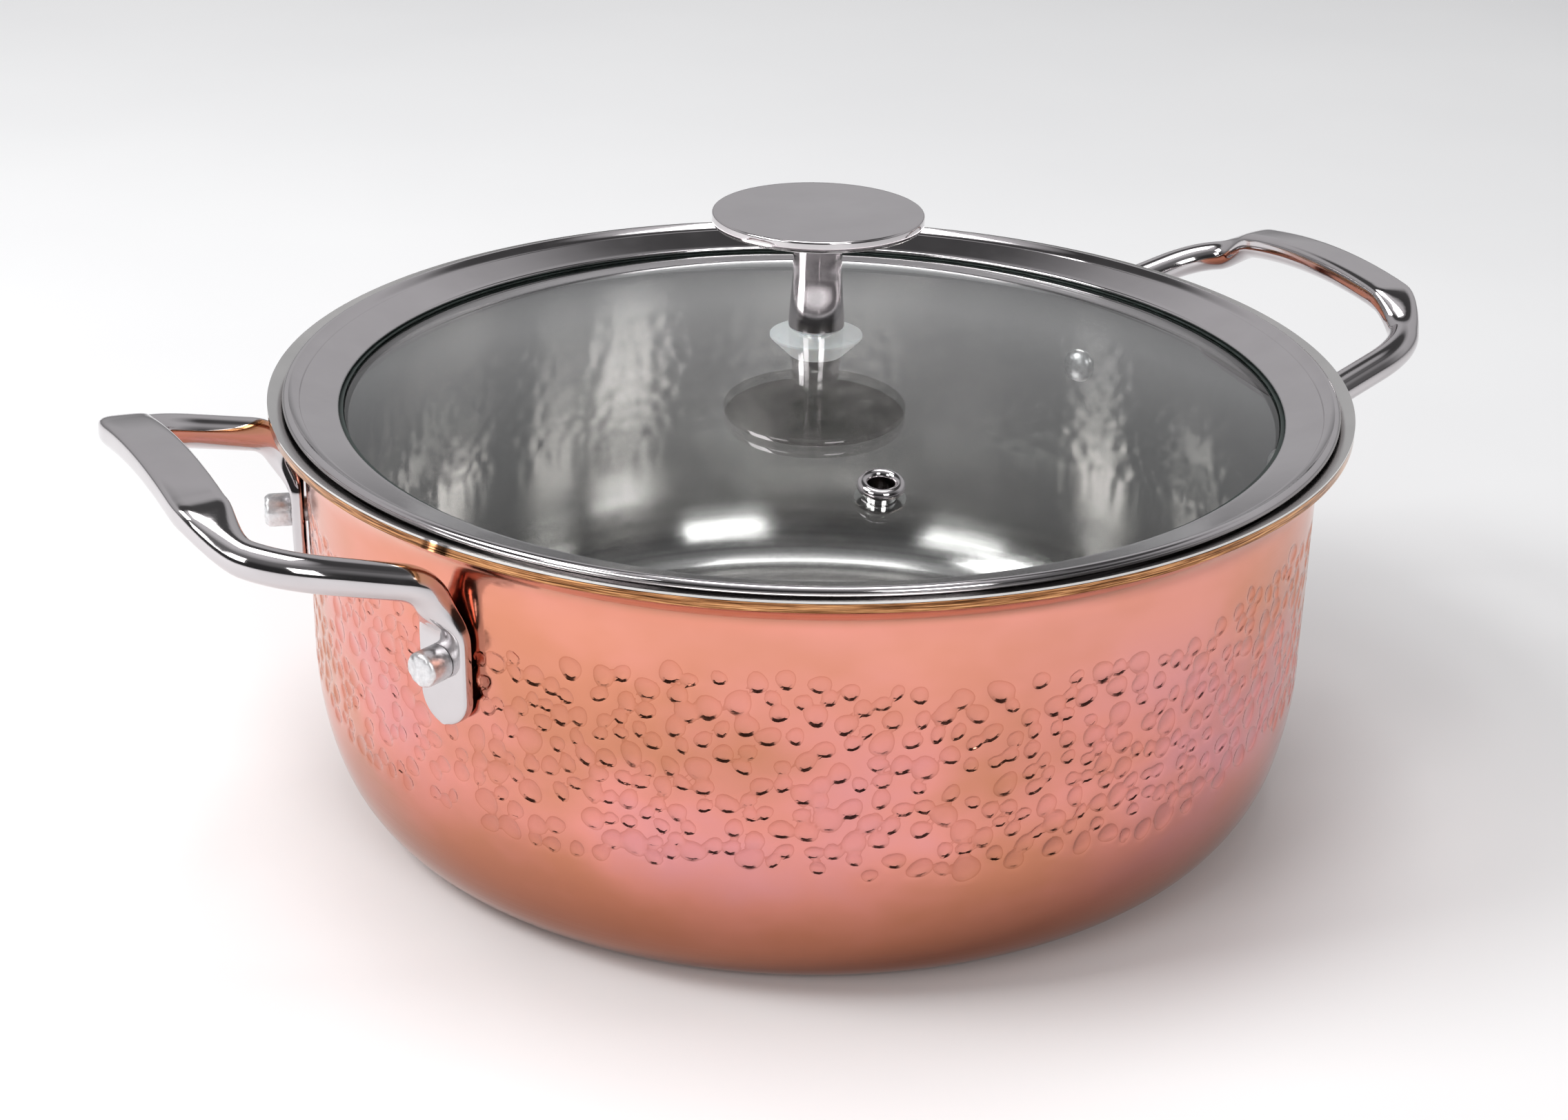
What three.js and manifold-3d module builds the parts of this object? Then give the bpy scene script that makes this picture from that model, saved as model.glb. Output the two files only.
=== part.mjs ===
// Two-handled hammered copper casserole with a domed glass lid.
// Millimetres, +Z up. The origin is the middle of the base, on the surface it stands on,
// and the two handles lie along X.
import * as THREE from 'three';
import { mergeVertices } from 'three/addons/utils/BufferGeometryUtils.js';
import Module from 'manifold-3d';

const wasm = await Module();
wasm.setup();

// ---- Pot: a copper shell bonded to a thin steel lining ----
const POT_HEIGHT = 102.4;
const RIM_RADIUS = 130;
const WALL_RADIUS = 122.5;
const BASE_FLAT_RADIUS = 102;
const HEEL_HEIGHT = 41;
const HEEL_POWER = 0.88;
const COPPER_THICKNESS = 1.9;
const BOND_GAP = 0.1;
const LINING_THICKNESS = 0.5;
const FLARE_OUTER_RADIUS = 10.5;

// ---- Handles and the rivets that hold them ----
const RIVET_HEIGHT = 72.3;
const RIVET_HALF_ANGLE = THREE.MathUtils.degToRad(21.5);
const RIVET_SHANK_RADIUS = 3;
const RIVET_HOLE_CLEARANCE = 0.3;
const RIVET_SEAT_GAP = 0.5;
const RIVET_HEAD = { radius: 4.6, height: 2.8 };
const RIVET_STUB = { radius: 4, length: 6.2, edge: 1.2 };
const TAB = { width: 13.5, thickness: 3.3, bottom: 57.3, top: 82, wallGap: 0.5 };
const ROD_RADIUS = 4;
const ROD_BEND = { height: 91.5, radius: 10, outward: 5.2 };
const SHOULDER = { height: 80, radius: 12 };
const GRIP = {
  reach: 160,
  height: 101.9,
  lift: 4.5,
  arch: 2.2,
  width: 11.8,
  above: 3.9,
  below: 3.6,
  cornerRadius: 23,
};
const LEG_INSET = 4.3;
const GRIP_RAMP = { start: 26, end: 40 };
const FLATTEST_POWER = 0.45;

// ---- Lid: glass dome in a steel band ----
const GLASS = { top: 114.7, sphereRadius: 393, edgeRadius: 117.2, thickness: 4, knobHole: 4 };
const SEAL = { innerRadius: 112.8, outerRadius: 118.1, thickness: 0.35, gap: 0.15 };
const BAND = {
  beadRadius: 1.2,
  beadAt: [125.4, 102.4],
  hemRadius: 0.6,
  hemAt: [114.4, 98.95],
  sheet: 0.6,
  wallRadius: 118.85,
  wallBottom: 91,
  flangeRadius: 114.6,
};

// ---- Vent eyelet in the glass ----
const VENT = {
  distance: 81.5,
  angle: THREE.MathUtils.degToRad(-110),
  holeRadius: 2.7,
  ringRadius: 5.35,
  ringHeight: 2,
  barrelRadius: 3.3,
  flareRadius: 4.5,
  washerRadius: 5.6,
  washerThickness: 0.8,
};
const VENT_GAP = 0.3;

// ---- Knob and the screw that holds it ----
const KNOB_TOP = 143.6;
const DISC = { radius: 25.2, thickness: 2.8, bevel: 0.6, socketRadius: 3.1, socketDepth: 1.2 };
const STEM = { radius: 5.9, footRadius: 6.75, footHeight: 5, spigotRadius: 3, spigotHeight: 1.1 };
const CONE = { topRadius: 11.5, bottomRadius: 6.5, height: 5, sleeveRadius: 3.8, sleeveHeight: 3.4 };
const SCREW = { radius: 2, headRadius: 4, headHeight: 2.6, length: 18, slotWidth: 0.9, slotDepth: 1.4 };
const SCREW_WASHER = { radius: 6, thickness: 1 };
const SCREW_CLEARANCE = 0.15;
const CONTACT_GAP = 0.1;

// ---- Facets ----
const ROUND = 48;
const SMALL_ROUND = 16;
const WALL_THICKNESS = COPPER_THICKNESS + BOND_GAP + LINING_THICKNESS;
const FLARE_CENTRE_RADIUS = WALL_RADIUS + FLARE_OUTER_RADIUS;
const FLARE_INNER_RADIUS = FLARE_OUTER_RADIUS + WALL_THICKNESS;
const NECK_HEIGHT = POT_HEIGHT - Math.sqrt(
  FLARE_INNER_RADIUS ** 2 - (FLARE_CENTRE_RADIUS - RIM_RADIUS) ** 2,
);

// ---- Materials ----
function metal(color, roughness) {
  return new THREE.MeshStandardMaterial({ color, roughness, metalness: 1 });
}

const copper = () => metal(0xd98a6a, 0.3);
const polishedSteel = () => metal(0xb8b4b2, 0.15);
const brushedSteel = () => metal(0xaaa8a6, 0.35);
const aluminium = () => metal(0xb4afae, 0.6);
const glass = () => new THREE.MeshStandardMaterial({
  color: 0xdfe8e4, roughness: 0.05, metalness: 0, transparent: true, opacity: 0.35,
});
const darkRubber = () => new THREE.MeshStandardMaterial({ color: 0x16201d, roughness: 0.6, metalness: 0 });
const milkySilicone = () => new THREE.MeshStandardMaterial({ color: 0xd8dcda, roughness: 0.5, metalness: 0 });

// ---- Building helpers ----
function named(name, geometry, material) {
  const mesh = new THREE.Mesh(geometry, material);
  mesh.name = name;
  return mesh;
}

// Revolve [radius, height] pairs about Z. The outline runs so that the solid lies on its left.
function turned(outline, segments = ROUND) {
  const points = outline.map(([radius, height]) => new THREE.Vector2(radius, height));
  return new THREE.LatheGeometry(points, segments).rotateX(Math.PI / 2);
}

function arc(centreRadius, centreHeight, radius, fromDegrees, toDegrees, steps) {
  return Array.from({ length: steps + 1 }, (_, i) => {
    const angle = THREE.MathUtils.degToRad(fromDegrees + ((toDegrees - fromDegrees) * i) / steps);
    return [centreRadius + radius * Math.cos(angle), centreHeight + radius * Math.sin(angle)];
  });
}

function toSolid(geometry) {
  const bare = geometry.clone();
  bare.deleteAttribute('normal');
  bare.deleteAttribute('uv');
  const merged = mergeVertices(bare);
  const corners = merged.index.array;
  const triVerts = [];
  for (let i = 0; i < corners.length; i += 3) {
    const [a, b, c] = corners.slice(i, i + 3);
    if (a !== b && b !== c && c !== a) triVerts.push(a, b, c);
  }
  return new wasm.Manifold(new wasm.Mesh({
    numProp: 3,
    vertProperties: merged.attributes.position.array,
    triVerts: new Uint32Array(triVerts),
  }));
}

function toGeometry(solid) {
  const { vertProperties, triVerts } = solid.getMesh();
  const geometry = new THREE.BufferGeometry();
  geometry.setAttribute('position', new THREE.BufferAttribute(vertProperties, 3));
  geometry.setIndex(new THREE.BufferAttribute(triVerts, 1));
  return geometry;
}

// Cut every tool out of a body.
function cut(body, tools) {
  const solid = tools.reduce((rest, tool) => rest.subtract(toSolid(tool)), toSolid(body));
  return toGeometry(solid);
}

// ---- Pot ----
// The wall's outline at a depth below its outer surface, from the axis out to the rim.
function wallOutline(depth) {
  const heelSteps = 6;
  const flareSteps = 5;
  const outline = [[0, depth]];
  for (let i = 0; i <= heelSteps; i += 1) {
    const angle = (Math.PI / 2) * (i / heelSteps);
    outline.push([
      BASE_FLAT_RADIUS + (WALL_RADIUS - BASE_FLAT_RADIUS - depth) * Math.sin(angle) ** HEEL_POWER,
      HEEL_HEIGHT - (HEEL_HEIGHT - depth) * Math.cos(angle) ** HEEL_POWER,
    ]);
  }
  const radius = FLARE_OUTER_RADIUS + depth;
  const stop = THREE.MathUtils.radToDeg(Math.acos((FLARE_CENTRE_RADIUS - RIM_RADIUS) / radius));
  return outline.concat(arc(FLARE_CENTRE_RADIUS, NECK_HEIGHT, radius, 180, 180 - stop, flareSteps));
}

function wallLayer(outerDepth, thickness) {
  return turned([...wallOutline(outerDepth), ...wallOutline(outerDepth + thickness).reverse()]);
}

// Where the four rivets stand: the side of the pot, and the angle about Z.
const rivetPlaces = [
  ['rivet_right_front', -RIVET_HALF_ANGLE],
  ['rivet_right_back', RIVET_HALF_ANGLE],
  ['rivet_left_back', Math.PI - RIVET_HALF_ANGLE],
  ['rivet_left_front', Math.PI + RIVET_HALF_ANGLE],
];

// A bar lying along +X at rivet height, from one distance from the axis to another.
function rivetHole() {
  const radius = RIVET_SHANK_RADIUS + RIVET_HOLE_CLEARANCE;
  const length = 40;
  return new THREE.CylinderGeometry(radius, radius, length, SMALL_ROUND)
    .rotateZ(Math.PI / 2)
    .translate(WALL_RADIUS, 0, RIVET_HEIGHT);
}

function drilledLayer(outerDepth, thickness) {
  const holes = rivetPlaces.map(([, angle]) => rivetHole().rotateZ(angle));
  return cut(wallLayer(outerDepth, thickness), holes);
}

const tabInnerFace = WALL_RADIUS + TAB.wallGap;
const tabOuterFace = tabInnerFace + TAB.thickness;

// A rivet turned about X: domed head inside the pot, shank, and a round-ended stub outside.
function rivetGeometry() {
  const headSeat = WALL_RADIUS - WALL_THICKNESS - RIVET_SEAT_GAP;
  const stubSeat = tabOuterFace + RIVET_HOLE_CLEARANCE;
  const stubEnd = stubSeat + RIVET_STUB.length;
  const dome = arc(0, 0, 1, -90, 0, 4).map(([across, along]) => [
    across * RIVET_HEAD.radius,
    headSeat + along * RIVET_HEAD.height,
  ]);
  const { radius, edge } = RIVET_STUB;
  const peen = arc(radius - edge, stubEnd - edge, edge, 0, 90, 3);
  const outline = [
    ...dome,
    [RIVET_SHANK_RADIUS, headSeat],
    [RIVET_SHANK_RADIUS, stubSeat],
    [radius, stubSeat],
    ...peen,
    [0, stubEnd],
  ];
  return turned(outline, SMALL_ROUND).rotateY(Math.PI / 2).translate(0, 0, RIVET_HEIGHT);
}

// ---- Handle ----
// A line through corner points, with each inner corner rounded to its radius.
function roundedPath(corners) {
  const path = new THREE.CurvePath();
  let from = corners[0].at;
  for (let i = 1; i < corners.length - 1; i += 1) {
    const { at, radius } = corners[i];
    const inward = corners[i - 1].at.clone().sub(at).normalize();
    const outward = corners[i + 1].at.clone().sub(at).normalize();
    const reach = radius / Math.tan(inward.angleTo(outward) / 2);
    const start = at.clone().addScaledVector(inward, reach);
    const end = at.clone().addScaledVector(outward, reach);
    path.add(new THREE.LineCurve3(from, start));
    path.add(new THREE.QuadraticBezierCurve3(start, at, end));
    from = end;
  }
  path.add(new THREE.LineCurve3(from, corners[corners.length - 1].at));
  return path;
}

const smooth = (value, from, to) => THREE.MathUtils.smoothstep(value, from, to);
const mix = THREE.MathUtils.lerp;
const signedPower = (value, power) => Math.sign(value) * Math.abs(value) ** power;

// The middle line of the right handle, from the foot of its front tab to the foot of its back tab.
function handlePath() {
  const tabMiddle = (tabInnerFace + tabOuterFace) / 2;
  const side = (sign) => {
    const angle = sign * RIVET_HALF_ANGLE;
    const beside = (distance, height) => (
      new THREE.Vector3(distance * Math.cos(angle), distance * Math.sin(angle), height)
    );
    const bend = beside(tabMiddle + ROD_BEND.outward, ROD_BEND.height);
    const corner = new THREE.Vector3(GRIP.reach, bend.y - sign * LEG_INSET, GRIP.height);
    return [
      { at: beside(tabMiddle, TAB.bottom) },
      { at: beside(tabMiddle, SHOULDER.height), radius: SHOULDER.radius },
      { at: bend, radius: ROD_BEND.radius },
      { at: corner, radius: GRIP.cornerRadius },
    ];
  };
  return roundedPath([...side(-1), ...side(1).reverse()]);
}

// Half width, thickness above and below the middle line, and how flat the top and bottom are.
// Both ends are alike, so the place is given by the distance along the path from the nearer end,
// and from the middle.
function handleSection(fromEnd, fromMiddle) {
  const arch = Math.max(0, 1 - (fromMiddle / GRIP_RAMP.start) ** 2);
  const tabHeight = TAB.top - TAB.bottom;
  const round = smooth(fromEnd, tabHeight - 6, tabHeight + 8);
  const footRadius = TAB.width / 2;
  const footDrop = Math.max(0, footRadius - fromEnd);
  const tabHalfWidth = Math.sqrt(Math.max(1.5, footRadius ** 2 - footDrop ** 2));
  const grip = 1 - smooth(fromMiddle, GRIP_RAMP.start, GRIP_RAMP.end);
  return {
    halfWidth: mix(mix(tabHalfWidth, ROD_RADIUS, round), GRIP.width / 2, grip),
    above: mix(mix(TAB.thickness / 2, ROD_RADIUS, round), GRIP.above, grip),
    below: mix(mix(TAB.thickness / 2, ROD_RADIUS, round), GRIP.below, grip),
    lift: GRIP.lift * grip + GRIP.arch * arch,
    flatTop: Math.max(1 - round, grip),
    flatBottom: 1 - round,
  };
}

// Bend a cylinder's skin along the handle's path, with the section above at each place.
function handleGeometry() {
  const rings = 52;
  const sides = 14;
  const path = handlePath();
  const length = path.getLength();
  const geometry = new THREE.CylinderGeometry(1, 1, 1, sides, rings);
  const position = geometry.attributes.position;
  for (let i = 0; i < position.count; i += 1) {
    const t = position.getY(i) + 0.5;
    const centre = path.getPointAt(t);
    const tangent = path.getTangentAt(t);
    const fromEnd = Math.min(t, 1 - t) * length;
    const fromMiddle = Math.abs(t - 0.5) * length;
    const section = handleSection(fromEnd, fromMiddle);
    const towardsPot = new THREE.Vector3(-centre.x, -centre.y, 0).normalize();
    const rise = smooth(fromEnd, TAB.top - TAB.bottom, TAB.top - TAB.bottom + 25);
    const up = towardsPot.lerp(new THREE.Vector3(0, 0, 1), rise);
    up.addScaledVector(tangent, -up.dot(tangent)).normalize();
    const across = tangent.clone().cross(up);
    const isTop = position.getZ(i) > 0;
    const power = mix(1, FLATTEST_POWER, isTop ? section.flatTop : section.flatBottom);
    centre.addScaledVector(across, section.halfWidth * signedPower(position.getX(i), power));
    const thickness = isTop ? section.above : section.below;
    centre.addScaledVector(up, section.lift);
    centre.addScaledVector(up, thickness * signedPower(position.getZ(i), power));
    position.setXYZ(i, centre.x, centre.y, centre.z);
  }
  const holes = [-RIVET_HALF_ANGLE, RIVET_HALF_ANGLE].map((angle) => rivetHole().rotateZ(angle));
  return cut(geometry, holes);
}

// ---- Lid ----
const glassTopAt = (radius) => (
  GLASS.top - GLASS.sphereRadius + Math.sqrt(GLASS.sphereRadius ** 2 - radius ** 2)
);

// Heights of the dome's upper surface, offset by a distance, from one radius to another.
function domeLine(fromRadius, toRadius, offset, steps) {
  return Array.from({ length: steps + 1 }, (_, i) => {
    const radius = mix(fromRadius, toRadius, i / steps);
    return [radius, glassTopAt(radius) + offset];
  });
}

// The frame of the vent: its own Z is square to the glass where the hole is.
function ventFrame() {
  const frame = new THREE.Group();
  const tilt = Math.asin(VENT.distance / GLASS.sphereRadius);
  frame.rotation.set(0, tilt, VENT.angle, 'ZYX');
  frame.position.set(
    VENT.distance * Math.cos(VENT.angle),
    VENT.distance * Math.sin(VENT.angle),
    glassTopAt(VENT.distance),
  );
  return frame;
}

function glassGeometry() {
  const steps = 6;
  const outline = [
    ...domeLine(GLASS.knobHole, GLASS.edgeRadius, -GLASS.thickness, steps),
    ...domeLine(GLASS.edgeRadius, GLASS.knobHole, 0, steps),
  ];
  outline.push(outline[0]);
  const frame = ventFrame();
  frame.updateMatrix();
  const holeRadius = VENT.barrelRadius + VENT_GAP;
  const ventHole = new THREE.CylinderGeometry(holeRadius, holeRadius, 30, SMALL_ROUND)
    .rotateX(Math.PI / 2)
    .applyMatrix4(frame.matrix);
  return cut(turned(outline), [ventHole]);
}

// A C section that hugs the edge of the glass.
function sealGeometry() {
  const steps = 1;
  const inner = SEAL.gap;
  const outer = SEAL.gap + SEAL.thickness;
  const slot = GLASS.edgeRadius + SEAL.gap;
  const outline = [
    ...domeLine(SEAL.innerRadius, SEAL.outerRadius, -GLASS.thickness - outer, steps),
    ...domeLine(SEAL.outerRadius, SEAL.innerRadius, outer, steps),
    ...domeLine(SEAL.innerRadius, slot, inner, steps),
    ...domeLine(slot, SEAL.innerRadius, -GLASS.thickness - inner, steps),
  ];
  outline.push(outline[0]);
  return turned(outline);
}

// Rolled outer bead, sloping band, rolled inner hem, and the channel below that holds the glass.
function bandGeometry() {
  const [beadR, beadZ] = BAND.beadAt;
  const [hemR, hemZ] = BAND.hemAt;
  const slope = (beadZ - hemZ) / (beadR - hemR);
  const underside = (radius) => hemZ + (radius - hemR) * slope - BAND.sheet / 2;
  const wallInner = BAND.wallRadius - BAND.sheet;
  const outline = [
    [BAND.flangeRadius, BAND.wallBottom + 0.4],
    [BAND.wallRadius - 0.6, BAND.wallBottom],
    [BAND.wallRadius, BAND.wallBottom + 0.6],
    [BAND.wallRadius, underside(BAND.wallRadius)],
    ...arc(beadR, beadZ, BAND.beadRadius, -140, 120, 6),
    ...arc(hemR, hemZ, BAND.hemRadius, 90, 270, 3),
    [wallInner, underside(wallInner)],
    [wallInner, BAND.wallBottom + BAND.sheet + 0.3],
    [BAND.flangeRadius, BAND.wallBottom + BAND.sheet + 0.4],
  ];
  outline.push(outline[0]);
  return turned(outline);
}

// ---- Vent, drawn about its own Z with the glass's upper surface at 0 ----
function ventEyeletGeometry() {
  const seat = VENT_GAP;
  const washerBottom = -GLASS.thickness - VENT_GAP - VENT.washerThickness;
  const flareTop = washerBottom - CONTACT_GAP;
  const ringMiddle = (VENT.holeRadius + VENT.ringRadius) / 2;
  const ringHalf = (VENT.ringRadius - VENT.holeRadius) / 2;
  const crown = arc(0, 0, 1, 0, 180, 6).map(([across, along]) => [
    ringMiddle + ringHalf * across,
    seat + 0.4 + along * (VENT.ringHeight - 0.4),
  ]);
  const outline = [
    [VENT.holeRadius, flareTop - 0.8],
    [VENT.flareRadius, flareTop - 0.5],
    [VENT.flareRadius, flareTop],
    [VENT.barrelRadius, flareTop],
    [VENT.barrelRadius, seat],
    [VENT.ringRadius, seat],
    ...crown,
  ];
  outline.push(outline[0]);
  return turned(outline, SMALL_ROUND);
}

function ventWasherGeometry() {
  const top = -GLASS.thickness - VENT_GAP;
  const bottom = top - VENT.washerThickness;
  const boreRadius = VENT.barrelRadius + CONTACT_GAP;
  const outline = [
    [boreRadius, bottom],
    [VENT.washerRadius, bottom],
    [VENT.washerRadius, top],
    [boreRadius, top],
    [boreRadius, bottom],
  ];
  return turned(outline, SMALL_ROUND);
}

// ---- Knob ----
const discBottom = KNOB_TOP - DISC.thickness;
const glassUnderside = GLASS.top - GLASS.thickness;
const coneBottom = glassUnderside - CONTACT_GAP - CONE.height;
const screwWasherTop = coneBottom - CONTACT_GAP;
const screwHeadTop = screwWasherTop - SCREW_WASHER.thickness - CONTACT_GAP;

function discGeometry() {
  const { radius, bevel, socketRadius, socketDepth } = DISC;
  return turned([
    [0, discBottom + socketDepth],
    [socketRadius, discBottom + socketDepth],
    [socketRadius, discBottom],
    [radius - bevel, discBottom],
    [radius, discBottom + bevel],
    [radius, KNOB_TOP - bevel],
    [radius - bevel, KNOB_TOP],
    [0, KNOB_TOP],
  ], 48);
}

function stemGeometry() {
  const foot = GLASS.top + CONTACT_GAP;
  const top = discBottom - CONTACT_GAP;
  const boreRadius = SCREW.radius + SCREW_CLEARANCE;
  const boreTop = screwHeadTop + SCREW.length + 1;
  return turned([
    [0, boreTop],
    [boreRadius, boreTop],
    [boreRadius, foot],
    [STEM.footRadius, foot],
    [STEM.footRadius, foot + 1],
    [STEM.radius, foot + STEM.footHeight],
    [STEM.radius, top],
    [STEM.spigotRadius, top],
    [STEM.spigotRadius, top + STEM.spigotHeight],
    [0, top + STEM.spigotHeight],
  ], 32);
}

function coneWasherGeometry() {
  const top = coneBottom + CONE.height;
  const boreRadius = SCREW.radius + SCREW_CLEARANCE;
  const outline = [
    [boreRadius, coneBottom],
    [CONE.bottomRadius, coneBottom],
    [CONE.topRadius - 0.4, top - 0.8],
    [CONE.topRadius - 0.4, top - 0.25],
    [CONE.sleeveRadius, top],
    [CONE.sleeveRadius, top + CONE.sleeveHeight],
    [boreRadius, top + CONE.sleeveHeight],
    [boreRadius, coneBottom],
  ];
  return turned(outline, 32);
}

function screwWasherGeometry() {
  const bottom = screwWasherTop - SCREW_WASHER.thickness;
  const boreRadius = SCREW.radius + SCREW_CLEARANCE;
  return turned([
    [boreRadius, bottom],
    [SCREW_WASHER.radius, bottom],
    [SCREW_WASHER.radius, screwWasherTop],
    [boreRadius, screwWasherTop],
    [boreRadius, bottom],
  ], SMALL_ROUND);
}

// Pan-head screw, head down, with a cross recess.
function screwGeometry() {
  const bottom = screwHeadTop - SCREW.headHeight;
  const body = turned([
    [0, bottom],
    [SCREW.headRadius - 1.2, bottom],
    [SCREW.headRadius, bottom + 1],
    [SCREW.headRadius, screwHeadTop],
    [SCREW.radius, screwHeadTop],
    [SCREW.radius, screwHeadTop + SCREW.length - 0.6],
    [SCREW.radius - 0.6, screwHeadTop + SCREW.length],
    [0, screwHeadTop + SCREW.length],
  ], SMALL_ROUND);
  const recess = [0, Math.PI / 2].map((angle) => (
    new THREE.BoxGeometry(SCREW.headRadius, SCREW.slotWidth, 2 * SCREW.slotDepth)
      .rotateZ(angle)
      .translate(0, 0, bottom)
  ));
  return cut(body, recess);
}

// ---- Assembly ----
const casserole = new THREE.Group();

const pot = new THREE.Group();
pot.add(named('copper_shell', drilledLayer(0, COPPER_THICKNESS), copper()));
pot.add(named('steel_lining', drilledLayer(COPPER_THICKNESS + BOND_GAP, LINING_THICKNESS), brushedSteel()));
for (const [name, turn] of [['handle_right', 0], ['handle_left', Math.PI]]) {
  const handle = named(name, handleGeometry(), polishedSteel());
  handle.rotation.z = turn;
  pot.add(handle);
}
for (const [name, angle] of rivetPlaces) {
  const rivet = named(name, rivetGeometry(), aluminium());
  rivet.rotation.z = angle;
  pot.add(rivet);
}

const lid = new THREE.Group();
lid.add(named('lid_glass', glassGeometry(), glass()));
lid.add(named('lid_seal', sealGeometry(), darkRubber()));
lid.add(named('lid_band', bandGeometry(), polishedSteel()));

const vent = ventFrame();
vent.add(named('vent_eyelet', ventEyeletGeometry(), polishedSteel()));
vent.add(named('vent_washer', ventWasherGeometry(), brushedSteel()));
lid.add(vent);

const knob = new THREE.Group();
knob.add(named('knob_disc', discGeometry(), polishedSteel()));
knob.add(named('knob_stem', stemGeometry(), polishedSteel()));
knob.add(named('knob_cone_washer', coneWasherGeometry(), milkySilicone()));
knob.add(named('knob_screw_washer', screwWasherGeometry(), brushedSteel()));
knob.add(named('knob_screw', screwGeometry(), brushedSteel()));
lid.add(knob);

casserole.add(pot, lid);

export default casserole;
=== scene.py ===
"""Two-handled hammered copper casserole with a domed glass lid: its finish, floor, light and camera."""
import math

import bmesh
import bpy
import numpy as np
from mathutils import Matrix, Vector


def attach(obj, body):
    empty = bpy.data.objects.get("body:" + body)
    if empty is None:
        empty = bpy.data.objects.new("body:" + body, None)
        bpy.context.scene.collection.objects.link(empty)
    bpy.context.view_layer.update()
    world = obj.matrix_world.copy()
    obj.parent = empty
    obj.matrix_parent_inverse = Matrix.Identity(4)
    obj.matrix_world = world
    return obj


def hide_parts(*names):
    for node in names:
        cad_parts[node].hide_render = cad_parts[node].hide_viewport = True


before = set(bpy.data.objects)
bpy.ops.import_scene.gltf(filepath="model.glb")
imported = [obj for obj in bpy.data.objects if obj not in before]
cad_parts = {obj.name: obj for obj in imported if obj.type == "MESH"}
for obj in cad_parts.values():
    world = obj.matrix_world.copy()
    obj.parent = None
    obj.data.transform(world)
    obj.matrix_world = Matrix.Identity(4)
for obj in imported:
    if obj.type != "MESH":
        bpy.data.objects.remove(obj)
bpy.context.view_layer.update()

MM = 0.001
FULL_TURN = 2 * math.pi

# Pot, in millimetres
POT_HEIGHT = 102.4
RIM_RADIUS = 130
WALL_RADIUS = 122.5
BASE_FLAT_RADIUS = 102
HEEL_HEIGHT = 41
HEEL_POWER = 0.88
COPPER_THICKNESS = 1.9
BOND_GAP = 0.1
LINING_THICKNESS = 0.5
FLARE_RADIUS = 10.5
WALL_THICKNESS = COPPER_THICKNESS + BOND_GAP + LINING_THICKNESS
FLARE_CENTRE = WALL_RADIUS + FLARE_RADIUS
NECK_HEIGHT = POT_HEIGHT - math.sqrt(
    (FLARE_RADIUS + WALL_THICKNESS) ** 2 - (FLARE_CENTRE - RIM_RADIUS) ** 2
)

# Hammer marks on the wall
HAMMERED_FROM = 35
HAMMERED_TO = 79
HAMMER_BLOWS = 7000
HAMMER_OVERLAP = 0.8
MARK_REACH = 5
FAR_FROM_MARKS = 1.6
SHOWN_ON_LINING = 0.2

# Handles and rivets
RIVET_HEIGHT = 72.3
RIVET_HALF_ANGLE = math.radians(21.5)
TAB = {"width": 13.5, "thickness": 3.3, "bottom": 57.3, "top": 82, "wall_gap": 0.5}
ROD_RADIUS = 4
ROD_BEND = {"height": 91.5, "radius": 10, "outward": 5.2}
SHOULDER = {"height": 80, "radius": 12}
GRIP = {
    "reach": 160, "height": 101.9, "lift": 4.5, "arch": 2.2, "width": 11.8, "above": 3.9, "below": 3.6,
}
GRIP_CORNER_RADIUS = 23
GRIP_RAMP = (26, 40)
LEG_INSET = 4.3
TAB_INNER_FACE = WALL_RADIUS + TAB["wall_gap"]
TAB_OUTER_FACE = TAB_INNER_FACE + TAB["thickness"]

# Lid
GLASS = {"top": 114.7, "sphere": 393, "edge": 117.2, "thickness": 4, "knob_hole": 4}
BEAD = {"at": (125.4, 102.4), "radius": 1.2}
HEM = {"at": (114.4, 98.95), "radius": 0.6}
VENT = {"distance": 81.5, "angle": math.radians(-110), "hole": 2.7, "ring": 5.35, "barrel": 3.3}
KNOB_TOP = 143.6

# The camera's own line round the pot, from which the lights are set out
VIEW_TURN = math.radians(-30.27)
LIGHTS_AIM = 0.05
FLOOR_HALF = 6
FLOOR_DROP = 0.0002


# ---- Shapes ----
def spun(outline, steps, closed=True):
    """Spin an outline of (radius, height) in millimetres round Z: one wedge first, then its copies."""
    wedges = 20 if steps % 20 == 0 and steps > 200 else 1
    shape = bmesh.new()
    corners = [shape.verts.new((radius * MM, 0, height * MM)) for radius, height in outline]
    edges = [shape.edges.new(pair) for pair in zip(corners, corners[1:])]
    if closed:
        edges.append(shape.edges.new((corners[-1], corners[0])))
    bmesh.ops.spin(
        shape, geom=corners + edges, axis=(0, 0, 1), cent=(0, 0, 0),
        angle=FULL_TURN / wedges, steps=steps // wedges, use_merge=wedges == 1,
    )
    if wedges > 1:
        wedge = shape.verts[:] + shape.edges[:] + shape.faces[:]
        bmesh.ops.spin(
            shape, geom=wedge, axis=(0, 0, 1), cent=(0, 0, 0), use_duplicate=True,
            angle=FULL_TURN * (wedges - 1) / wedges, steps=wedges - 1,
        )
    bmesh.ops.remove_doubles(shape, verts=shape.verts, dist=2e-6)
    bmesh.ops.recalc_face_normals(shape, faces=shape.faces)
    return shape


def arc(centre, radius, start, stop, steps):
    """Points along an arc, with angles in degrees."""
    angles = np.radians(np.linspace(start, stop, steps + 1))
    return [(centre[0] + radius * math.cos(a), centre[1] + radius * math.sin(a)) for a in angles]


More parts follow.
